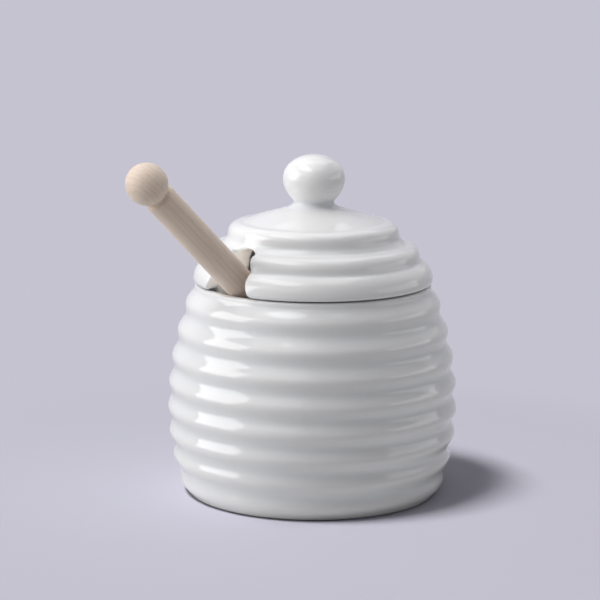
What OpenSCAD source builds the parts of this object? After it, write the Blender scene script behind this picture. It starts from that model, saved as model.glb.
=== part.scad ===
// Ribbed honey pot with a lift-off knob lid and a turned wooden dipper.
// The pot stands on z = 0 with its axis on Z. The lid's notch and the dipper point to -X.

/* [Pot] */
// widest diameter over the ribs
belly_d = 105; // [95:0.5:115]
// height of the widest place
belly_h = 31.5; // [28:0.5:35]
// height of the rim that the lid sits on
pot_h = 76.3; // [74:0.1:80]
// radius of the side's curve above the widest place
shoulder_curve = 115; // [105:1:140]
// radius of the side's curve below the widest place
foot_curve = 85; // [70:1:120]
// wall thickness behind the grooves
pot_wall = 4.5; // [3.6:0.1:5.4]
// thickness of the floor over the foot's recess
floor_t = 4; // [3:0.1:6]

/* [Ribs] */
// ribs round the pot
pot_ribs = 8; // [7:1:9]
// height of the lowest rib
first_rib_h = 4.1; // [3.5:0.1:5]
// distance from the highest rib up to the rim
top_rib_drop = 6.4; // [6:0.1:7.5]
// how much closer the ribs lie low down than high up
rib_spread = 0.056; // [0:0.002:0.1]
// depth of the grooves between the ribs
groove_depth = 1.45; // [1.1:0.05:1.9]

/* [Rim and foot] */
// how far the rim stands in from the side's curve
rim_inset = 0.6; // [0.3:0.05:1]
// wall thickness at the rim
rim_wall = 4.2; // [4:0.1:4.8]
// rounding of the rim's inner edge, where the dipper rests
rim_round = 2.2; // [1.8:0.1:2.6]
// width of the unglazed foot ring
foot_w = 7; // [5:0.5:9]
// depth of the recess inside the foot ring
foot_recess = 1.5; // [1:0.1:2]

/* [Lid] */
// how far the lid's lowest rib stands out past the rim
lid_overhang = 0.45; // [0.3:0.05:1.2]
// step in from the lowest rib to the middle one
lid_step_mid = 4.9; // [4.4:0.1:5.4]
// step in from the lowest rib to the top one
lid_step_top = 12.6; // [12:0.1:13.2]
// height of the middle rib over the rim
lid_mid_h = 9.9; // [9.4:0.1:10.4]
// height of the top rib over the rim
lid_top_h = 18.5; // [17.8:0.1:19.4]
// how far the crown rises from the top rib to the knob
crown_rise = 5.1; // [4.2:0.1:6]
// thickness of the lid's locating flange
flange_t = 3.8; // [3:0.1:4.4]
// how far the flange reaches down into the pot
flange_h = 5; // [4:0.1:6]
// free play between the flange and the pot's mouth, on the radius
flange_play = 0.6; // [0.4:0.05:0.9]
// height of the hollow under the lid, from its spring line
dome_h = 18.5; // [17:0.1:19.2]

/* [Knob] */
// diameter of the knob
knob_d = 22.4; // [19:0.1:24]
// height of the knob's rounded top half
knob_top_h = 8.5; // [7:0.1:10]
// height of the knob's tapered lower half
knob_low_h = 10.6; // [9.6:0.1:12]
// height of the straight neck under the knob
neck_h = 0.6; // [0.3:0.1:2]
// diameter of the knob's waist
waist_d = 14.2; // [12.5:0.1:15.5]

/* [Notch] */
// width of the notch where it opens at the rim
notch_base_w = 22.4; // [20:0.1:24]
// width of the notch under its arch
notch_w = 18; // [16.4:0.1:19]
// height of the arch over the rim
notch_h = 15.7; // [15:0.1:16.4]
// rounding of the arch's two upper corners
notch_corner = 7; // [5:0.1:8]
// thickness of the collar that lines the notch inside the lid
collar_t = 3.8; // [3:0.1:4.6]
// distance from the axis to the collar's inner end
collar_x = 23.4; // [22.6:0.2:26]

/* [Dipper] */
// whole length of the dipper
dipper_l = 170; // [160:1:180]
// diameter of the handle
handle_d = 11.1; // [9:0.1:12]
// diameter of the ball on the handle's end
ball_d = 14.6; // [12:0.1:17]
// diameter of the head over its ridges
head_d = 22; // [19:0.5:23]
// ridges on the head
ridges = 6; // [5:1:7]
// spacing of the ridges
ridge_pitch = 4.8; // [4.4:0.1:5.2]
// radius of the head's round nose
nose_r = 7; // [6:0.1:7.5]
// clearance between the dipper and what it rests on
rest_gap = 0.2; // [0.1:0.05:0.4]
// clearance between the head's nose and the pot's side
side_gap = 0.4; // [0.2:0.05:1]

/* [Hidden] */
glaze = [0.93, 0.93, 0.94];
beech = [0.80, 0.70, 0.60];
$fn = 96;

// side's curve: the radius of a rib's tip at height z
function bend(c, dz) = c - sqrt(c * c - dz * dz);
function tip_r(z) = belly_d / 2 - bend(z > belly_h ? shoulder_curve : foot_curve, z - belly_h);
function core_r(z) = tip_r(z) - groove_depth;
function inner_r(z) = core_r(z) - pot_wall;

rib_span = pot_h - top_rib_drop - first_rib_h;
function rib_t(i) = i / (pot_ribs - 1);
function rib_z(i) = first_rib_h + rib_span * (rib_t(i) - rib_spread * rib_t(i) * (1 - rib_t(i)));
rib_round = 0.6 * rib_span / (pot_ribs - 1);
rim_r = tip_r(pot_h) - rim_inset;
mouth_r = rim_r - rim_wall;
rim_edge = 1;
floor_z = foot_recess + floor_t;
corner_r = 8;
mouth_z = pot_h - 5;
wall_steps = 9;
wall_rise = mouth_z - 1.5 - floor_z - corner_r;
foot_r = tip_r(first_rib_h) - rib_round + sqrt(rib_round * rib_round - first_rib_h * first_rib_h);

lid_r = rim_r + lid_overhang;
low_round = 7.5;
low_z = pot_h + 1.7;
mid_round = 4.6;
mid_z = pot_h + lid_mid_h;
top_round = 3.5;
top_z = pot_h + lid_top_h;
mid_x = lid_r - lid_step_mid - mid_round;
top_x = lid_r - lid_step_top - top_round;
crown_z = top_z + top_round;
flange_r = mouth_r - flange_play;
hollow_r = flange_r - flange_t;
spring_z = pot_h + 1.7;

knob_fillet = 2;
waist_z = crown_z + crown_rise + knob_fillet;
knob_r = knob_d / 2;
waist_a = acos(waist_d / knob_d);
knob_z = waist_z + neck_h + knob_low_h * sin(waist_a);

// the dipper leans on the rim's rounding, and its round nose lies on the floor by the side
handle_r = handle_d / 2;
ball_r = ball_d / 2;
head_r = head_d / 2;
nose_z = floor_z + nose_r + rest_gap;
nose_x = inner_r(nose_z) - nose_r - side_gap;
rest_x = mouth_r + rim_round + nose_x;
rest_z = pot_h - rim_round - nose_z;
rest_h = handle_r + rest_gap + rim_round;
lean = atan2(rest_z, rest_x) + asin(rest_h / norm([rest_x, rest_z]));
ball_s = dipper_l - nose_r - ball_r;
neck_r = handle_r - 1.2;
head_core = handle_r * 0.8;
head_s = 2;
head_end = head_s + ridges * ridge_pitch;

// the head's ridges: the outer ones are a little smaller than those in the middle
function barrel(i) = head_r * (1 - 0.12 * pow(2 * i / (ridges - 1) - 1, 2));
function ridge(r, s) = [
  [head_core, s + 0.3], [r - 0.7, s + 0.3], [r, s + 1],
  [r, s + 2.4], [r - 0.7, s + 3.1], [head_core, s + 3.1]
];

module rounds(places, r) {
  for (p = places) translate(p) circle(r = r);
}

module pot_outside() {
  grooves = [for (i = [0 : pot_ribs - 2]) (rib_z(i) + rib_z(i + 1)) / 2];
  polygon(concat(
    [[0, 0], [foot_r - 1, 0], [core_r(first_rib_h), first_rib_h]],
    [for (z = grooves) [core_r(z), z]],
    [[core_r(rib_z(pot_ribs - 1)), rib_z(pot_ribs - 1)], [rim_r, pot_h - rim_edge - 0.2],
     [rim_r - rim_edge, pot_h], [0, pot_h]]
  ));
  intersection() {
    translate([rim_r - 20, 0]) square([belly_d, pot_h]);
    rounds([for (i = [0 : pot_ribs - 1]) [tip_r(rib_z(i)) - rib_round, rib_z(i)]], rib_round);
  }
}

module pot_inside() {
  corner_x = inner_r(floor_z + corner_r) - corner_r;
  edge_x = mouth_r + rim_round;
  polygon(concat(
    [[-1, floor_z]],
    [for (a = [0 : 15 : 90]) [corner_x + corner_r * sin(a), floor_z + corner_r * (1 - cos(a))]],
    [for (i = [1 : wall_steps])
      let (z = floor_z + corner_r + wall_rise * i / wall_steps)
      [max(inner_r(z), mouth_r), z]],
    [for (a = [0 : 15 : 90])
      [edge_x - rim_round * cos(a), pot_h - rim_round * (1 - sin(a))]],
    [[edge_x, pot_h + 5], [-1, pot_h + 5]]
  ));
}

module pot() {
  color(glaze) rotate_extrude() difference() {
    pot_outside();
    pot_inside();
    translate([-1, -1]) square([foot_r - foot_w + 1, foot_recess + 1]);
  }
}

module lid_outside() {
  polygon([
    [0, pot_h], [lid_r - 1.6, pot_h], [lid_r - 0.6, pot_h + 1],
    [mid_x + mid_round - 0.3, mid_z - 1.6],
    [top_x + top_round + 0.3, top_z - 1.7],
    [top_x, crown_z - 0.1], [top_x - 7, crown_z + 0.45 * crown_rise],
    [waist_d / 2 + knob_fillet + 0.6, waist_z - knob_fillet],
    [0, waist_z - knob_fillet]
  ]);
  intersection() {
    translate([10, pot_h]) square([lid_r, 60]);
    union() {
      rounds([[lid_r - low_round, low_z]], low_round);
      rounds([[mid_x, mid_z]], mid_round);
      rounds([[top_x, top_z]], top_round);
    }
  }
  translate([0, pot_h - flange_h]) square([flange_r, flange_h + 2]);
}

module knob_outside() {
  polygon(concat(
    [[0, waist_z - knob_fillet - 1], [waist_d / 2 + knob_fillet, waist_z - knob_fillet - 1]],
    [for (a = [90 : -15 : 15])
      [waist_d / 2 + knob_fillet * (1 - cos(a)), waist_z - knob_fillet * sin(a)]],
    [for (a = [-waist_a : waist_a / 6 : -1]) [knob_r * cos(a), knob_z + knob_low_h * sin(a)]],
    [for (a = [0 : 10 : 90]) [knob_r * cos(a), knob_z + knob_top_h * sin(a)]]
  ));
}

module lid_inside() {
  polygon(concat(
    [[-1, pot_h - flange_h - 1], [hollow_r, pot_h - flange_h - 1]],
    [for (a = [0 : 9 : 90]) [hollow_r * cos(a), spring_z + dome_h * sin(a)]],
    [[-1, spring_z + dome_h]]
  ));
}

// the notch seen from outside: a flared arch with rounded corners, made larger all round by grow
module notch_outline(grow) {
  r = notch_corner + grow;
  side = notch_w / 2 - notch_corner;
  arch_z = notch_h - notch_corner;
  flare = (notch_base_w - notch_w) / 2 / arch_z;
  foot_x = side + r + flare * (arch_z + flange_h + 2);
  polygon(concat(
    [[foot_x, -flange_h - 2]],
    [for (a = [0 : 15 : 90]) [side + r * cos(a), arch_z + r * sin(a)]],
    [for (a = [90 : 15 : 180]) [-side + r * cos(a), arch_z + r * sin(a)]],
    [[-foot_x, -flange_h - 2]]
  ));
}

module notch_block(from_x, grow) {
  translate([-from_x, 0, pot_h]) rotate([90, 0, -90])
    linear_extrude(height = lid_r) notch_outline(grow);
}

module lid() {
  color(glaze) difference() {
    union() {
      rotate_extrude() difference() {
        union() {
          lid_outside();
          knob_outside();
        }
        lid_inside();
      }
      intersection() {
        rotate_extrude() lid_outside();
        notch_block(collar_x, collar_t);
      }
    }
    notch_block(collar_x - 1, 0);
  }
}

module dipper_outline() {
  polygon(concat(
    [for (a = [-90 : 15 : -15]) [nose_r * cos(a), nose_r * sin(a)]],
    [[nose_r, 0], [head_core, head_s - 1]],
    [for (i = [0 : ridges - 1]) each ridge(barrel(i), head_s + i * ridge_pitch)],
    [[head_core, head_end + 1], [handle_r, head_end + 7]],
    [for (a = [0 : 30 : 90])
      [handle_r - 1.2 * (1 - cos(a)), ball_s - ball_r - 1.2 + 1.2 * sin(a)]],
    [[neck_r, ball_s - sqrt(ball_r * ball_r - neck_r * neck_r)]],
    [for (a = [-45 : 9 : 90]) [ball_r * cos(a), ball_s + ball_r * sin(a)]]
  ));
}

module dipper() {
  color(beech) translate([nose_x, 0, nose_z]) rotate([0, lean - 90, 0])
    rotate_extrude() dipper_outline();
}

pot();
lid();
dipper();
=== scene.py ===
import bpy
import numpy as np
from math import sin, cos, radians, sqrt, pi
from mathutils import Vector, Matrix


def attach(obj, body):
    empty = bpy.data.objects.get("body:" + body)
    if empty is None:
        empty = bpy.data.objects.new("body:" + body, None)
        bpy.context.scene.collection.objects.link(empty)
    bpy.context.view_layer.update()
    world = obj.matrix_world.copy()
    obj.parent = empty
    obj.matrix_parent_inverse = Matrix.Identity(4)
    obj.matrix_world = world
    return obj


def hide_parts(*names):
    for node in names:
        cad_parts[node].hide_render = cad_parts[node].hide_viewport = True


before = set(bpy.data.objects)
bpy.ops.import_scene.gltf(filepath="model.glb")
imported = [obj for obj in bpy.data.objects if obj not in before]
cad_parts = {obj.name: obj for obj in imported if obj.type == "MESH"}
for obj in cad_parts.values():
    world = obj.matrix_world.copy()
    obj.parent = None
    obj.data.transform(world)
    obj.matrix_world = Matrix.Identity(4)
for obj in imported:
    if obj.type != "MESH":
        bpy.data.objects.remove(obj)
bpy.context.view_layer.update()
scene = bpy.context.scene
mm = 0.001

# camera: the photo's view, fitted to the outline of the pot and its base line
camera = dict(azimuth=-43.0, elevation=10.57, distance=0.8544, lens=142.0, roll=0.41,
              aimRight=-0.0047, aimUp=0.06967)


def makeCamera(c):
    a, e, r = radians(c["azimuth"]), radians(c["elevation"]), radians(c["roll"])
    flat = Vector((cos(a), sin(a), 0))
    back = Vector((sin(a) * cos(e), -cos(a) * cos(e), sin(e)))
    up = back.cross(flat)
    aim = flat * c["aimRight"] + Vector((0, 0, c["aimUp"]))
    right = flat * cos(r) + up * sin(r)
    top = up * cos(r) - flat * sin(r)
    data = bpy.data.cameras.new("camera")
    data.lens, data.sensor_width = c["lens"], 36
    data.dof.use_dof = False
    data.clip_start, data.clip_end = 0.05, 60
    ob = bpy.data.objects.new("camera", data)
    turn = Matrix((right, top, back)).transposed().to_4x4()
    ob.matrix_world = Matrix.Translation(aim + back * c["distance"]) @ turn
    scene.collection.objects.link(ob)
    scene.camera = ob
    return flat, back


sideways, towards = makeCamera(camera)
print("camera set")


# shader helpers
def newGroup(name, inputs, outputs):
    tree = bpy.data.node_groups.new(name, "ShaderNodeTree")
    kinds = {"f": "NodeSocketFloat", "c": "NodeSocketColor", "v": "NodeSocketVector"}
    for label, kind, value in inputs:
        s = tree.interface.new_socket(name=label, in_out="INPUT", socket_type=kinds[kind])
        if value is not None:
            s.default_value = value
    for label, kind in outputs:
        tree.interface.new_socket(name=label, in_out="OUTPUT", socket_type=kinds[kind])
    return tree


class Wires:
    # short ways to add and join nodes in one tree
    def __init__(self, tree):
        self.tree = tree

    def add(self, kind, values=None, **props):
        n = self.tree.nodes.new("ShaderNode" + kind)
        for k, v in props.items():
            setattr(n, k, v)
        for k, v in (values or {}).items():
            self.put(n.inputs[k], v)
        return n

    def put(self, socket, value):
        if isinstance(value, bpy.types.NodeSocket):
            self.tree.links.new(value, socket)
        else:
            socket.default_value = value

    def math(self, op, a, b=0.0, clamp=False):
        n = self.add("Math", operation=op, use_clamp=clamp)
        self.put(n.inputs[0], a)
        self.put(n.inputs[1], b)
        return n.outputs[0]

    def blendOf(self, fac, a, b, mode="MIX"):
        n = self.add("Mix", data_type="RGBA", blend_type=mode)
        self.put(n.inputs[0], fac)
        self.put(n.inputs[6], a)
        self.put(n.inputs[7], b)
        return n.outputs[2]

    def spread(self, value, lo, hi, toLo=0.0, toHi=1.0, smooth=False):
        n = self.add("MapRange", {0: value, 1: lo, 2: hi, 3: toLo, 4: toHi})
        if smooth:
            n.interpolation_type = "SMOOTHSTEP"
        return n.outputs[0]

    def noise(self, vector, scale, detail=2.0, rough=0.5, shift=0.0):
        n = self.add("TexNoise", {"Vector": vector, "Scale": scale, "Detail": detail, "Roughness": rough},
                     noise_dimensions="4D")
        n.inputs["W"].default_value = shift
        return n.outputs["Fac"]


def groupGlaze():
    # fired glaze: cooler where it pools in the hollows, with a slow wave in its surface and a bare foot, and
    # painted warm light on the notch's walls
    tree = newGroup("glazeSkin", [("Vector", "v", None), ("Pool", "f", 0.0),
                                  ("Crest Tint", "c", (0.8, 0.8, 0.8, 1)),
                                  ("Pool Tint", "c", (0.8, 0.8, 0.8, 1)),
                                  ("Bare Tint", "c", (0.7, 0.68, 0.64, 1)),
                                  ("Bare Below", "f", -1.0), ("Painted Notch Light", "f", 0.0),
                                  ("Painted Notch Light Tint", "c", (0.8, 0.75, 0.7, 1)),
                                  ("Wave", "f", 0.3), ("Gloss", "f", 0.08)],
                    [("Color", "c"), ("Roughness", "f"), ("Height", "f")])
    w = Wires(tree)
    ins = tree.nodes.new("NodeGroupInput").outputs
    outs = tree.nodes.new("NodeGroupOutput").inputs
    place = ins["Vector"]
    slow = w.noise(place, 38.0, 2.0, 0.45, 3.1)
    fine = w.noise(place, 420.0, 3.0, 0.55, 7.7)
    grit = w.noise(place, 2600.0, 2.0, 0.6, 1.3)
    pool = w.math("ADD", ins["Pool"], w.spread(slow, 0.3, 0.7, -0.12, 0.12), clamp=True)
    tint = w.blendOf(pool, ins["Crest Tint"], ins["Pool Tint"])
    mottle = w.spread(fine, 0.25, 0.75, 0.985, 1.0)
    shade = w.add("CombineColor", {0: mottle, 1: mottle, 2: mottle}).outputs[0]
    tint = w.blendOf(1.0, tint, shade, "MULTIPLY")
    height = w.add("SeparateXYZ", {0: place}).outputs[2]
    edge = w.math("ADD", height, w.spread(fine, 0.3, 0.7, -0.00012, 0.00012))
    low = w.math("SUBTRACT", ins["Bare Below"], 0.0001)
    bare = w.add("MapRange", {0: edge, 1: ins["Bare Below"], 2: low, 3: 0.0, 4: 1.0}).outputs[0]
    clay = w.blendOf(w.spread(grit, 0.35, 0.7), ins["Bare Tint"], (0.52, 0.49, 0.45, 1))
    # painted light: a warmer, brighter tint on the notch's walls, standing in for light thrown back from the
    # beech handle
    paintedNotchLight = w.math("MULTIPLY", ins["Painted Notch Light"], w.spread(slow, 0.2, 0.8, 0.75, 1.0), clamp=True)
    tint = w.blendOf(paintedNotchLight, tint, ins["Painted Notch Light Tint"])
    w.put(outs["Color"], w.blendOf(bare, tint, clay))
    rough = w.math("ADD", ins["Gloss"], w.spread(fine, 0.3, 0.8, 0.0, 0.03))
    n = w.add("Mix", data_type="FLOAT", values={0: bare, 2: rough, 3: 0.75})
    w.put(outs["Roughness"], n.outputs[0])
    wave = w.math("MULTIPLY", slow, ins["Wave"])
    ripple = w.math("MULTIPLY", w.noise(place, 150.0, 1.5, 0.4, 5.2), w.math("MULTIPLY", ins["Wave"], 0.10))
    tooth = w.math("MULTIPLY", w.math("MULTIPLY", grit, bare), 0.05)
    w.put(outs["Height"], w.math("ADD", w.math("ADD", wave, ripple), tooth))
    return tree


def groupGrain():
    # straight-grained beech: growth bands round a pith line beside the piece, short dark flecks along the grain
    tree = newGroup("beechGrain", [("Vector", "v", None), ("Light", "c", (0.7, 0.6, 0.5, 1)),
                                   ("Dark", "c", (0.5, 0.4, 0.3, 1)), ("Fleck", "c", (0.4, 0.28, 0.2, 1)),
                                   ("Band", "f", 1400.0), ("Pith", "f", 0.03), ("Fleck Amount", "f", 0.5)],
                    [("Color", "c"), ("Roughness", "f"), ("Height", "f")])
    w = Wires(tree)
    ins = tree.nodes.new("NodeGroupInput").outputs
    outs = tree.nodes.new("NodeGroupOutput").inputs
    long = w.add("Mapping", {"Vector": ins["Vector"], "Scale": (1.0, 1.0, 0.05)}).outputs[0]
    parts = w.add("SeparateXYZ", {0: long})
    warp = w.math("MULTIPLY", w.spread(w.noise(long, 210.0, 3.0, 0.55, 2.0), 0.0, 1.0, -1.0, 1.0), 0.0022)
    across = w.math("ADD", w.math("ADD", parts.outputs[0], ins["Pith"]), warp)
    beside = w.math("ADD", parts.outputs[1], 0.004)
    square = w.math("ADD", w.math("MULTIPLY", across, across), w.math("MULTIPLY", beside, beside))
    reach = w.math("SQRT", square)
    ring = w.math("FRACT", w.math("MULTIPLY", reach, ins["Band"]))
    late = w.spread(ring, 0.35, 1.0, 0.0, 1.0, smooth=True)
    thread = w.add("Mapping", {"Vector": ins["Vector"], "Scale": (1.0, 1.0, 0.025)}).outputs[0]
    fibre = w.noise(thread, 2600.0, 3.0, 0.6, 4.0)
    cloud = w.noise(ins["Vector"], 60.0, 2.0, 0.5, 9.0)
    mixAmount = w.math("ADD", w.math("MULTIPLY", late, 0.3), w.spread(fibre, 0.25, 0.75, -0.2, 0.5), clamp=True)
    mixAmount = w.math("ADD", mixAmount, w.spread(cloud, 0.3, 0.7, -0.12, 0.12), clamp=True)
    base = w.blendOf(mixAmount, ins["Light"], ins["Dark"])
    dash = w.add("Mapping", {"Vector": ins["Vector"], "Scale": (1.0, 1.0, 0.10)}).outputs[0]
    cells = w.add("TexVoronoi", {"Vector": dash, "Scale": 1500.0, "Randomness": 1.0}).outputs["Distance"]
    patch = w.noise(long, 900.0, 1.0, 0.5, 6.0)
    fleck = w.math("MULTIPLY", w.spread(cells, 0.05, 0.22, 1.0, 0.0), w.spread(patch, 0.52, 0.62), clamp=True)
    w.put(outs["Color"], w.blendOf(w.math("MULTIPLY", fleck, ins["Fleck Amount"]), base, ins["Fleck"]))
    rough = w.spread(fibre, 0.2, 0.8, 0.5, 0.62)
    w.put(outs["Roughness"], w.math("ADD", rough, w.math("MULTIPLY", fleck, 0.1)))
    w.put(outs["Height"], w.math("SUBTRACT", w.math("MULTIPLY", fibre, 0.6), w.math("MULTIPLY", fleck, 0.5)))
    return tree


glazeSkin = groupGlaze()
beechGrain = groupGrain()


def newMaterial(name):
    m = bpy.data.materials.new(name)
    m.use_nodes = True
    w = Wires(m.node_tree)
    return m, w, m.node_tree.nodes["Principled BSDF"]


def glazeMaterial(name, look):
    m, w, shader = newMaterial(name)
    skin = w.add("Group")
    skin.node_tree = glazeSkin
    w.put(skin.inputs["Vector"], w.add("TexCoord").outputs["Object"])
    w.put(skin.inputs["Pool"], w.add("Attribute", attribute_name="pool").outputs["Fac"])
    # this mask paints light thrown back from the beech handle onto the notch's walls
    w.put(skin.inputs["Painted Notch Light"], w.add("Attribute", attribute_name="paintedNotchLight").outputs["Fac"])
    for label, key in (("Crest Tint", "crest"), ("Pool Tint", "pool"), ("Bare Tint", "bare"),
                       ("Painted Notch Light Tint", "paintedNotchLight"), ("Bare Below", "bareBelow"), ("Wave", "wave"),
                       ("Gloss", "gloss")):
        skin.inputs[label].default_value = look[key]
    bump = w.add("Bump", {"Strength": 1.0, "Distance": 0.0009, "Height": skin.outputs["Height"]})
    w.put(shader.inputs["Base Color"], skin.outputs["Color"])
    w.put(shader.inputs["Roughness"], skin.outputs["Roughness"])
    w.put(shader.inputs["Normal"], bump.outputs[0])
    shader.inputs["IOR"].default_value = 1.52
    return m


def beechMaterial(name, look, turn, shift):
    m, w, shader = newMaterial(name)
    place = w.add("TexCoord").outputs["Object"]
    local = w.add("Mapping", {"Vector": place, "Location": shift, "Rotation": turn}, vector_type="TEXTURE")
    grain = w.add("Group")
    grain.node_tree = beechGrain
    w.put(grain.inputs["Vector"], local.outputs[0])
    for label, key in (("Light", "light"), ("Dark", "dark"), ("Fleck", "fleck"), ("Band", "band"),
                       ("Pith", "pith"), ("Fleck Amount", "fleckAmount")):
        grain.inputs[label].default_value = look[key]
    bump = w.add("Bump", {"Strength": 0.35, "Distance": 0.0002, "Height": grain.outputs["Height"]})
    w.put(shader.inputs["Base Color"], grain.outputs["Color"])
    w.put(shader.inputs["Roughness"], grain.outputs["Roughness"])
    w.put(shader.inputs["Normal"], bump.outputs[0])
    shader.inputs["IOR"].default_value = 1.45
    shader.inputs["Specular IOR Level"].default_value = 0.35
    # fine sanded fibres catch light along the edges
    shader.inputs["Sheen Weight"].default_value = look["sheen"]
    shader.inputs["Sheen Roughness"].default_value = 0.45
    return m


# mesh helpers, all in millimetres until the mesh is made
def roundedPath(points, step=0.35):
    # points are (x, y, radius); each corner with a radius becomes an arc
    out = []
    n = len(points)
    for k, (x, y, r) in enumerate(points):
        p = np.array((x, y))
        if r <= 0 or k in (0, n - 1):
            out.append(p)
            continue
        a, b = np.array(points[k - 1][:2]) - p, np.array(points[k + 1][:2]) - p
        la, lb = np.linalg.norm(a), np.linalg.norm(b)
        a, b = a / la, b / lb
        half = np.arccos(np.clip(a @ b, -1, 1)) / 2
        cut = min(r / np.tan(half), la * 0.49, lb * 0.49)
        r = cut * np.tan(half)
        mid = (a + b) / np.linalg.norm(a + b)
        centre = p + mid * r / sin(half)
        u, v = p + a * cut - centre, p + b * cut - centre
        sweep = np.arctan2(u[0] * v[1] - u[1] * v[0], u @ v)
        steps = max(3, int(abs(sweep) * r / step) + 2)
        for t in np.linspace(0, sweep, steps):
            out.append(centre + np.array((u[0] * cos(t) - u[1] * sin(t), u[0] * sin(t) + u[1] * cos(t))))
    return np.array(out)


def lathe(name, path, turns, wobble=None, pool=None):
    # path runs from the axis out and back to the axis: rows of (radius, height)
    verts, faces, ring = [], [], []
    angles = np.linspace(0, 2 * pi, turns, endpoint=False)
    poolOut = []
    for k, (r, z) in enumerate(path):
        if r < 1e-6:
            ring.append([len(verts)])
            verts.append((0, 0, z))
            poolOut.append(0.0)
            continue
        rr = r + (wobble(angles, z, r) if wobble is not None else 0 * angles)
        ring.append(list(range(len(verts), len(verts) + turns)))
        verts.extend(np.stack([rr * np.cos(angles), rr * np.sin(angles), np.full(turns, z)], -1).tolist())
        poolOut.extend([0.0 if pool is None else float(pool[k])] * turns)
    for a, b in zip(ring[:-1], ring[1:]):
        for i in range(turns):
            j = (i + 1) % turns
            if len(a) == 1 and len(b) > 1:
                faces.append((a[0], b[j], b[i]))
            elif len(b) == 1 and len(a) > 1:
                faces.append((a[i], a[j], b[0]))
            elif len(a) > 1:
                faces.append((a[i], a[j], b[j], b[i]))
    return makeMesh(name, np.array(verts, float) * mm, faces, poolOut)


def setPoints(mesh, name, values):
    mesh.attributes.new(name, "FLOAT", "POINT").data.foreach_set("value", np.asarray(values, np.float32))


def makeMesh(name, verts, faces, pool=None):
    mesh = bpy.data.meshes.new(name)
    mesh.from_pydata([tuple(v) for v in verts], [], faces)
    if pool is not None:
        setPoints(mesh, "pool", pool)
    mesh.polygons.foreach_set("use_smooth", [True] * len(mesh.polygons))
    mesh.update()
    ob = bpy.data.objects.new(name, mesh)
    scene.collection.objects.link(ob)
    return ob


def finishPiece(ob, material, body, slot, *nodes):
    ob.data.materials.clear()
    ob.data.materials.append(material)
    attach(ob, body)
    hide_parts(*nodes)
    print(ob.name, "made,", len(ob.data.polygons), "faces")


# pot: a lathe form whose ribs run into each other through a soft hollow of glaze
pot = dict(bellyR=52.4, bellyH=31.5, upCurve=115.0, downCurve=85.0, ribs=8, firstRib=4.1, rimH=76.3,
           topDrop=6.4, spread=0.056, groove=1.45, wall=4.4, rimR=42.75, rimWall=4.2, rimRound=2.2, rimEdge=1.3,
           floorZ=5.5, cornerR=8.0, footW=7.0, recess=1.5, footEdge=1.3, turns=320, wobble=0.05)
# the warm tint (0.93, 0.87, 0.79) is painted light: brighter than the glaze, for the light the beech handle
# throws back onto the notch's walls
porcelain = dict(crest=(0.83, 0.83, 0.835, 1), pool=(0.80, 0.815, 0.83, 1), bare=(0.72, 0.70, 0.66, 1),
                 bareBelow=0.0004, paintedNotchLight=(0.93, 0.87, 0.79, 1), wave=0.35, gloss=0.07)


def tipR(z):
    curve = np.where(z > pot["bellyH"], pot["upCurve"], pot["downCurve"])
    return pot["bellyR"] - (curve - np.sqrt(curve ** 2 - (z - pot["bellyH"]) ** 2))


def ribHeights():
    t = np.linspace(0, 1, pot["ribs"])
    span = pot["rimH"] - pot["topDrop"] - pot["firstRib"]
    return pot["firstRib"] + span * (t - pot["spread"] * t * (1 - t))


def potOutline(z):
    ribs = ribHeights()
    ends = np.concatenate([[2 * ribs[0] - ribs[1]], ribs, [2 * ribs[-1] - ribs[-2]]])
    turn = 2 * pi * np.interp(z, ends, np.arange(-1, len(ribs) + 1))
    return tipR(z) - pot["groove"] * (1 - np.cos(turn)) / 2


def potPath():
    z = np.arange(pot["footEdge"] * 1.2, pot["rimH"] - pot["rimEdge"] - 0.5, 0.3)
    out = potOutline(z)
    footR = float(potOutline(np.array([0.0]))[0])
    bottom = roundedPath([(0, pot["recess"], 0), (footR - pot["footW"], pot["recess"], 0.7),
                          (footR - pot["footW"] + 0.5, 0, 0.4), (footR, 0, pot["footEdge"]), (out[0], z[0], 0)])
    rim = roundedPath([(out[-1], z[-1], 0), (pot["rimR"], pot["rimH"], pot["rimEdge"]),
                       (pot["rimR"] - pot["rimWall"], pot["rimH"], pot["rimRound"]),
                       (pot["rimR"] - pot["rimWall"], pot["rimH"] - 5, 0)])
    low = pot["floorZ"] + pot["cornerR"]
    zi = np.arange(pot["rimH"] - 6, low, -1.5)
    inner = np.maximum(tipR(zi) - pot["groove"] - pot["wall"] + 0.1, pot["rimR"] - pot["rimWall"])
    lastR = float(tipR(np.array(low)) - pot["groove"] - pot["wall"] + 0.1)
    turn = np.linspace(0, pi / 2, 14)
    corner = np.stack([lastR - pot["cornerR"] * (1 - np.cos(turn)), low - pot["cornerR"] * np.sin(turn)], -1)
    well = np.stack([np.linspace(lastR - pot["cornerR"], 0, 12)[1:], np.full(11, pot["floorZ"])], -1)
    outer = np.stack([out[1:-1], z[1:-1]], -1)
    path = np.concatenate([bottom[:-1], [[out[0], z[0]]], outer, rim, np.stack([inner, zi], -1), corner, well])
    depth = np.zeros(len(path))
    n0 = len(bottom)
    crest = tipR(z[1:-1]) - out[1:-1]
    depth[n0:n0 + len(crest)] = np.clip(crest / 1.7, 0, 1) ** 1.5
    depth[n0 + len(crest) + len(rim) + len(inner):] = 0.6
    return path, depth


def potWobble(angles, z, r):
    s = 0.6 * np.sin(2 * angles + 0.7) + 0.5 * np.sin(3 * angles + z * 0.05 + 2.1)
    return pot["wobble"] * (s + 0.4 * np.sin(5 * angles - z * 0.09 + 4.0)) * min(1.0, r / 30)


path, depth = potPath()
potPiece = lathe("potBody", path, pot["turns"], potWobble, depth)
finishPiece(potPiece, glazeMaterial("potPorcelain", porcelain), "pot", "pot_glaze", "pot")


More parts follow.
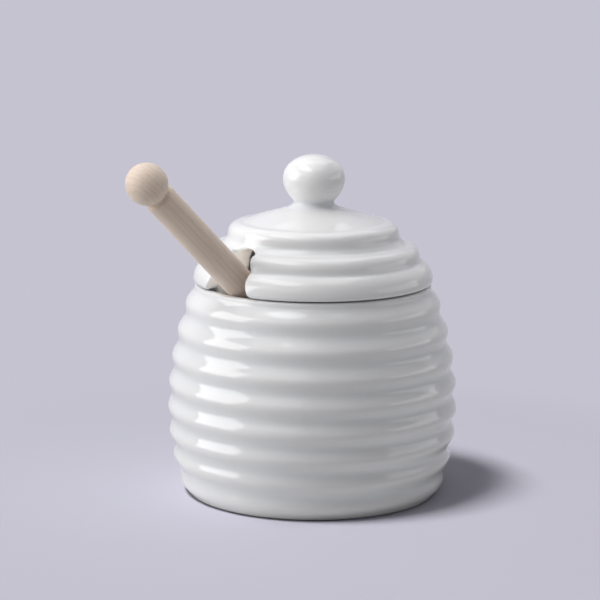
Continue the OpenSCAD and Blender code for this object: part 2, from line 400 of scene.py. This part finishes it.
# lid: its surface is where a smooth distance field is zero, so that every cut edge is rounded as by glaze
# low, mid and top are the lobes as (radius, height, round); the K values say how softly two forms join
lid = dict(seat=76.75, lidR=43.2, low=(35.75, 78.0, 7.4), mid=(33.75, 86.2, 4.55), top=(27.2, 94.75, 3.5),
           lowNeck=(38.0, 84.9), midNeck=(30.9, 93.1), crownTop=103.5, crownEdge=10.2, crownFlat=8.0,
           flangeR=38.0, flangeH=5.1, hollowR=34.2, springZ=78.0, domeH=18.5,
           knobR=11.15, knobZ=114.2, knobUp=8.45, knobDown=10.55, waistR=7.1, waistZ=105.6,
           notchR=7.1, notchSide=0.1, notchTop=91.5, notchBase=10.2, collarT=4.4, collarX=-23.4, collarSunk=1.0,
           cutPast=1.2, seatK=1.5, blendK=1.2, knobK=2.6, flangeK=0.6, hollowK=0.8, sunkK=0.6, collarK=1.0,
           cutK=2.0)
# the tables of that field, smoothed by soften and widen grid steps, and the mesh that is pulled onto it
weave = dict(grid=0.1, soften=2.5, widen=6, voxel=0.45, probe=0.06, rounds=9, evenRounds=7, pulls=2, longest=0.5)


def distanceTo(poly, x, y):
    # signed distance to a closed outline, negative inside
    best = np.full(x.shape, 1e9)
    odd = np.zeros(x.shape, bool)
    for (ax, ay), (bx, by) in zip(poly, np.roll(poly, -1, axis=0)):
        ex, ey = bx - ax, by - ay
        t = np.clip(((x - ax) * ex + (y - ay) * ey) / max(ex * ex + ey * ey, 1e-12), 0, 1)
        best = np.minimum(best, (x - ax - t * ex) ** 2 + (y - ay - t * ey) ** 2)
        if ay != by:
            odd ^= ((ay > y) != (by > y)) & (x < ax + (y - ay) * ex / ey)
    return np.where(odd, -1, 1) * np.sqrt(best)


def meet(a, b, k):
    # smooth union of two distances
    h = np.clip(0.5 + 0.5 * (b - a) / k, 0, 1)
    return b + (a - b) * h - k * h * (1 - h)


def cutBy(a, b, k):
    return -meet(-a, b, k)


def blur(field, sigma):
    n = int(sigma * 3 + 1)
    w = np.exp(-0.5 * (np.arange(-n, n + 1) / sigma) ** 2)
    w /= w.sum()
    for axis in (0, 1):
        size = field.shape[axis]
        padded = np.pad(field, [(n, n) if k == axis else (0, 0) for k in (0, 1)], mode="edge")
        field = sum(w[k] * np.take(padded, range(k, k + size), axis=axis) for k in range(2 * n + 1))
    return field


def lidField():
    # the turned form alone, first solid and then with its hollow, as tables over radius and height
    s, g = lid["seat"], weave["grid"]
    xs, zs = np.arange(-1.5, 47, g), np.arange(68, 126, g)
    x, z = np.meshgrid(np.abs(xs), zs, indexing="ij")
    topX, topZ, topR = lid["top"]
    shoulder, crown = topZ + topR, lid["crownTop"]
    core = np.array([(0, s - 3), (lid["lidR"] - 2.0, s - 3), (lid["lidR"] - 1.0, s + 1), lid["lowNeck"],
                     lid["midNeck"], (topX, shoulder - 0.1), (topX - 7, shoulder + 0.42 * (crown - shoulder)),
                     (lid["crownEdge"], crown - 0.1), (lid["crownFlat"], crown + 0.6), (0, crown + 0.6)])
    body = distanceTo(core, x, z)
    for c, h, r in (lid["low"], lid["mid"], lid["top"]):
        body = meet(body, np.hypot(x - c, z - h) - r, lid["blendK"])
    body = cutBy(body, distanceTo(np.array([(-5, 0), (60, 0), (60, s), (-5, s)]), x, z), lid["seatK"])
    a = np.radians(np.arange(-49, 90.5, 2.0))
    tall = np.where(a < 0, lid["knobDown"], lid["knobUp"])
    ball = np.stack([lid["knobR"] * np.cos(a), lid["knobZ"] + tall * np.sin(a)], -1)
    neck = [(0, lid["waistZ"] - 4), (lid["waistR"], lid["waistZ"] - 4), (lid["waistR"], lid["waistZ"])]
    knob = np.concatenate([neck, ball, [(0, ball[-1][1])]])
    body = meet(body, distanceTo(knob, x, z), lid["knobK"])
    # the flange: a plug with rounded edges that goes 4 mm up into the lid
    half, edge = lid["flangeH"] / 2, 0.8
    plug = np.maximum(x - lid["flangeR"] + edge, np.abs(z - (s - half + 2)) - half - 2 + edge) - edge
    body = meet(body, plug, lid["flangeK"])
    a = np.radians(np.arange(0, 91, 3.0))
    dome = np.stack([lid["hollowR"] * np.cos(a), lid["springZ"] + lid["domeH"] * np.sin(a)], -1)
    dome = np.concatenate([[(-5, 60), (lid["hollowR"], 60)], dome, [(-5, lid["springZ"] + lid["domeH"])]])
    solid = blur(body, weave["soften"])
    shell = blur(cutBy(body, distanceTo(dome, x, z), lid["hollowK"]), weave["soften"])
    # how much the surface bends, from a wider blur: glaze pools where it bends inwards
    wide = blur(shell, weave["widen"])
    bend = np.zeros_like(shell)
    around = wide[2:, 1:-1] + wide[:-2, 1:-1] + wide[1:-1, 2:] + wide[1:-1, :-2]
    bend[1:-1, 1:-1] = (around - 4 * wide[1:-1, 1:-1]) / g ** 2
    return xs, zs, solid, shell, bend


lidX, lidZ, lidSolid, lidShell, lidBend = lidField()


def readGrid(table, x, z):
    g = weave["grid"]
    u = np.clip((x - lidX[0]) / g, 0, len(lidX) - 1.001)
    v = np.clip((z - lidZ[0]) / g, 0, len(lidZ) - 1.001)
    i, j = u.astype(int), v.astype(int)
    u, v = u - i, v - j
    return ((table[i, j] * (1 - u) + table[i + 1, j] * u) * (1 - v)
            + (table[i, j + 1] * (1 - u) + table[i + 1, j + 1] * u) * v)


def notchDistance(y, z):
    # a flared arch with rounded corners, as seen along X
    r, half = lid["notchR"], lid["notchR"] + lid["notchSide"]
    springZ = lid["notchTop"] - r
    flare = (lid["notchBase"] - half) / (springZ - lid["seat"])
    y = np.abs(y)
    side = (y - half - flare * (springZ - z)) / sqrt(1 + flare ** 2)
    over = np.hypot(np.maximum(y - lid["notchSide"], 0), z - springZ) - r
    return np.where(z > springZ, over, side)


def lidSurface(p):
    # the shell, the collar that lines the notch, and then the notch itself
    r, z = np.hypot(p[:, 0], p[:, 1]), p[:, 2]
    arch = notchDistance(p[:, 1], z)
    collar = np.maximum(arch - lid["collarT"], p[:, 0] - lid["collarX"])
    collar = -meet(-collar, -readGrid(lidSolid, r, z) - lid["collarSunk"], lid["sunkK"])
    body = meet(readGrid(lidShell, r, z), collar, lid["collarK"])
    return cutBy(body, np.maximum(arch, p[:, 0] - lid["collarX"] - lid["cutPast"]), lid["cutK"])


def makeLid():
    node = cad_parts["lid"]
    work = bpy.data.objects.new("lidWork", node.data.copy())
    scene.collection.objects.link(work)
    remesh = work.modifiers.new("even", "REMESH")
    remesh.mode, remesh.voxel_size, remesh.adaptivity = "VOXEL", weave["voxel"] * mm, 0.0
    made = bpy.data.meshes.new_from_object(work.evaluated_get(bpy.context.evaluated_depsgraph_get()))
    bpy.data.objects.remove(work)
    co = np.zeros(len(made.vertices) * 3)
    made.vertices.foreach_get("co", co)
    p = co.reshape(-1, 3) / mm
    edges = np.zeros(len(made.edges) * 2, int)
    made.edges.foreach_get("vertices", edges)
    edges = edges.reshape(-1, 2)
    count = np.bincount(edges.ravel(), minlength=len(p)).astype(float)[:, None]
    h, longest = weave["probe"], weave["longest"]
    for turn in range(weave["rounds"]):
        if turn < weave["evenRounds"]:
            # even out the spacing, then go back to the surface
            mean = np.zeros_like(p)
            for k in range(3):
                mean[:, k] = (np.bincount(edges[:, 0], p[edges[:, 1], k], len(p))
                              + np.bincount(edges[:, 1], p[edges[:, 0], k], len(p)))
            p = p + (mean / count - p) * 0.5
        for pull in range(weave["pulls"]):
            d = lidSurface(p)
            steps = np.eye(3) * h
            grad = np.stack([(lidSurface(p + e) - lidSurface(p - e)) / (2 * h) for e in steps], -1)
            size = np.maximum((grad ** 2).sum(1, keepdims=True), 0.25)
            p = p - np.clip(d[:, None] / size * 0.95, -longest, longest) * grad
    made.vertices.foreach_set("co", (p * mm).ravel())
    r, z = np.hypot(p[:, 0], p[:, 1]), p[:, 2]
    setPoints(made, "pool", np.clip(-readGrid(lidBend, r, z) * 2.2, 0, 1))
    # painted light in the notch, for light thrown back from the beech handle: by the notch's wall and 1 to 3 mm
    # and more under the lid's outside
    near = np.clip((1.6 - np.abs(notchDistance(p[:, 1], z))) / 1.2, 0, 1) * (p[:, 0] < lid["collarX"] + 2)
    setPoints(made, "paintedNotchLight", near * np.clip((-readGrid(lidSolid, r, z) - 1.0) / 2.0, 0, 1))
    made.polygons.foreach_set("use_smooth", [True] * len(made.polygons))
    made.update()
    ob = bpy.data.objects.new("lidBody", made)
    scene.collection.objects.link(ob)
    return ob


lidPiece = makeLid()
lidGlaze = dict(porcelain, bareBelow=-1.0)
finishPiece(lidPiece, glazeMaterial("lidPorcelain", lidGlaze), "lid", "lid_glaze", "lid")


# dipper: turned from one stick, along its own axis from the nose up to the ball
dipper = dict(noseX=37.045, noseZ=12.7, lean=42.858, length=170.0, noseR=6.95, handleR=5.53, ballR=7.27,
              headR=10.95, core=4.45, ridges=6, pitch=4.8, headStart=2.0, neckR=4.35, shoulder=1.4, turns=160)
beech = dict(light=(0.75, 0.625, 0.53, 1), dark=(0.585, 0.46, 0.37, 1), fleck=(0.36, 0.24, 0.17, 1),
             band=620.0, pith=0.028, fleckAmount=0.55, sheen=0.3)


def dipperPath():
    d = dipper
    ballS = d["length"] - d["noseR"] - d["ballR"] - 0.05
    a = np.radians(np.arange(-90, -24, 5.0))
    nose = [(d["noseR"] * cos(t), d["noseR"] * sin(t), 0) for t in a]
    head = [(d["noseR"] * 0.97, -0.4, 0.6), (d["core"], d["headStart"] - 1.2, 0.6)]
    for i in range(d["ridges"]):
        s = d["headStart"] + i * d["pitch"]
        r = d["headR"] * (1 - 0.12 * (2 * i / (d["ridges"] - 1) - 1) ** 2)
        head += [(d["core"], s + 0.35, 0.5), (r, s + 0.6, 0.55), (r, s + 2.8, 0.55), (d["core"], s + 3.05, 0.5)]
    end = d["headStart"] + d["ridges"] * d["pitch"]
    top = ballS - sqrt(d["ballR"] ** 2 - d["neckR"] ** 2)
    under = ballS - d["ballR"]
    handle = [(d["core"], end + 1, 2.0), (d["handleR"], end + 7, 12.0),
              (d["handleR"], under - 0.1, d["shoulder"]),
              (d["neckR"], under + 0.55, 0.5), (d["neckR"], top, 0.35)]
    low = np.arcsin((top - ballS) / d["ballR"])
    a = np.linspace(low, pi / 2, 40)[2:]
    ball = [(d["ballR"] * cos(t), ballS + d["ballR"] * sin(t), 0) for t in a]
    path = roundedPath(nose + head + handle + ball, 0.25)
    path[0][0] = path[-1][0] = 0
    # even rings along the plain handle keep the shading clean
    out = [path[0]]
    for p in path[1:]:
        n = int(np.linalg.norm(p - out[-1]) / 2.5)
        out += [out[-1] + (p - out[-1]) * t for t in np.linspace(0, 1, n + 2)[1:-1]] if n else []
        out.append(p)
    return np.array(out)


def makeDipper():
    ob = lathe("dipperBody", dipperPath(), dipper["turns"])
    place = (Matrix.Translation(Vector((dipper["noseX"], 0, dipper["noseZ"])) * mm)
             @ Matrix.Rotation(radians(dipper["lean"] - 90), 4, "Y"))
    ob.data.transform(place)
    ob.data.update()
    return ob


dipperPiece = makeDipper()
wood = beechMaterial("turnedBeech", beech, (0, radians(dipper["lean"] - 90), 0),
                     (dipper["noseX"] * mm, 0, dipper["noseZ"] * mm))
finishPiece(dipperPiece, wood, "dipper", "beech", "dipper")


# stage: a pale seamless floor that keeps the shadow, and a plain ground colour behind it
stage = dict(ground=(0.558, 0.546, 0.631, 1), floor=(0.56, 0.548, 0.633, 1), bounce=(0.57, 0.57, 0.575, 1),
             floorR=6.0, floorDrop=0.00002, near=0.13, far=0.2, skyTint=(1.0, 1.0, 1.0, 1), skyStrength=0.02)
# turn is counted from straight left of the camera towards it, high from the floor up, wide and tall in metres
boxes = dict(
    left=dict(power=5.3, turn=8, high=20, far=0.9, wide=0.66, tall=0.66),
    key=dict(power=0.38, turn=28, high=66, far=0.42, wide=0.31, tall=0.13),
    top=dict(power=0.72, turn=0, high=88, far=0.45, wide=0.4, tall=0.4),
    front=dict(power=0.27, turn=55, high=45, far=0.45, wide=0.36, tall=0.3),
    back=dict(power=1.6, turn=270, high=60, far=1.0, wide=1.0, tall=0.7),
    rim=dict(power=0.5, turn=225, high=30, far=1.0, wide=0.8, tall=0.6),
    right=dict(power=1.0, turn=180, high=12, far=0.9, wide=0.9, tall=0.3),
    # these two light the floor alone, as the paper under a photographed pot has its own lamp
    floorKey=dict(power=308, turn=28, high=66, far=6.0, wide=2.04, tall=1.0),
    floorSoft=dict(power=4.6, turn=0, high=89, far=1.2, wide=2.0, tall=2.0))
# stray light in the notch, which large lamps don't throw past the dipper; size and place in mm
notchFill = dict(place=(-33, -6.6, 82.5), size=7.0, power=0.0015, tilt=15)


def seenRays(w):
    # rays that should meet the plain ground colour: the camera's own, mirrored and passed through
    path = w.add("LightPath").outputs
    through = w.math("MAXIMUM", path["Is Glossy Ray"], path["Is Transmission Ray"])
    return w.math("MAXIMUM", path["Is Camera Ray"], through)


def makeFloor():
    n, r = 64, stage["floorR"]
    ring = [(r * cos(2 * pi * k / n), r * sin(2 * pi * k / n), 0.0) for k in range(n)]
    ob = makeMesh("floor", ring, [list(range(n))])
    ob.location.z = -stage["floorDrop"]
    m, w, shader = newMaterial("paperFloor")
    # light that bounces off the floor onto the pot is neutral, as in the photo
    bounce = w.add("LightPath").outputs["Is Diffuse Ray"]
    w.put(shader.inputs["Base Color"], w.blendOf(bounce, stage["floor"], stage["bounce"]))
    shader.inputs["Roughness"].default_value = 0.85
    shader.inputs["Specular IOR Level"].default_value = 0.2
    glow = w.add("Emission", {"Color": stage["ground"], "Strength": 1.0})
    reach = w.add("VectorMath", {0: w.add("TexCoord").outputs["Object"]}, operation="LENGTH").outputs["Value"]
    fade = w.math("MULTIPLY", w.spread(reach, stage["near"], stage["far"], smooth=True), seenRays(w))
    both = w.add("MixShader", {0: fade, 1: shader.outputs[0], 2: glow.outputs[0]})
    w.put(m.node_tree.nodes["Material Output"].inputs[0], both.outputs[0])
    ob.data.materials.append(m)
    return ob


def makeWorld():
    sky = bpy.data.worlds.new("studio")
    scene.world = sky
    sky.use_nodes = True
    w = Wires(sky.node_tree)
    soft = sky.node_tree.nodes["Background"]
    soft.inputs[0].default_value, soft.inputs[1].default_value = stage["skyTint"], stage["skyStrength"]
    plain = w.add("Background", {"Color": stage["ground"], "Strength": 1.0})
    both = w.add("MixShader", {0: seenRays(w), 1: soft.outputs[0], 2: plain.outputs[0]})
    w.put(sky.node_tree.nodes["World Output"].inputs[0], both.outputs[0])


def areaLamp(name, wide, tall, power, matrix, lit):
    # gives the lamp and the collection that says what it lights
    data = bpy.data.lights.new(name, "AREA")
    data.shape, data.size, data.size_y, data.energy = "RECTANGLE", wide, tall, power
    ob = bpy.data.objects.new(name, data)
    ob.matrix_world = matrix
    scene.collection.objects.link(ob)
    group = bpy.data.collections.new(name + "Reach")
    group.objects.link(lit)
    ob.light_linking.receiver_collection = group
    return ob, group


def softBox(name, b, ground, aim=(0, 0, 0.05)):
    front = Vector((towards.x, towards.y, 0)).normalized()
    flat = -sideways * cos(radians(b["turn"])) + front * sin(radians(b["turn"]))
    way = flat * cos(radians(b["high"])) + Vector((0, 0, sin(radians(b["high"]))))
    across = Vector((0, 0, 1)).cross(way).normalized()
    turn = Matrix((across, way.cross(across), way)).transposed().to_4x4()
    place = Matrix.Translation(Vector(aim) + way * b["far"]) @ turn
    lamp, group = areaLamp(name + "Light", b["wide"], b["tall"], b["power"], place, ground)
    # a lamp lights either the floor or everything else
    group.collection_objects[0].light_linking.link_state = "INCLUDE" if name.startswith("floor") else "EXCLUDE"


def fillNotch(b):
    # lights the lid alone, and only the lid shades it
    size = b["size"] * mm
    place = Matrix.Translation(Vector(b["place"]) * mm) @ Matrix.Rotation(radians(90 + b["tilt"]), 4, "X")
    lamp, group = areaLamp("notchFill", size, size, b["power"], place, lidPiece)
    lamp.light_linking.blocker_collection = group


floor = makeFloor()
makeWorld()
fillNotch(notchFill)
for name, box in boxes.items():
    softBox(name, box, floor)
scene.view_settings.view_transform = "Standard"
print("stage and light set")
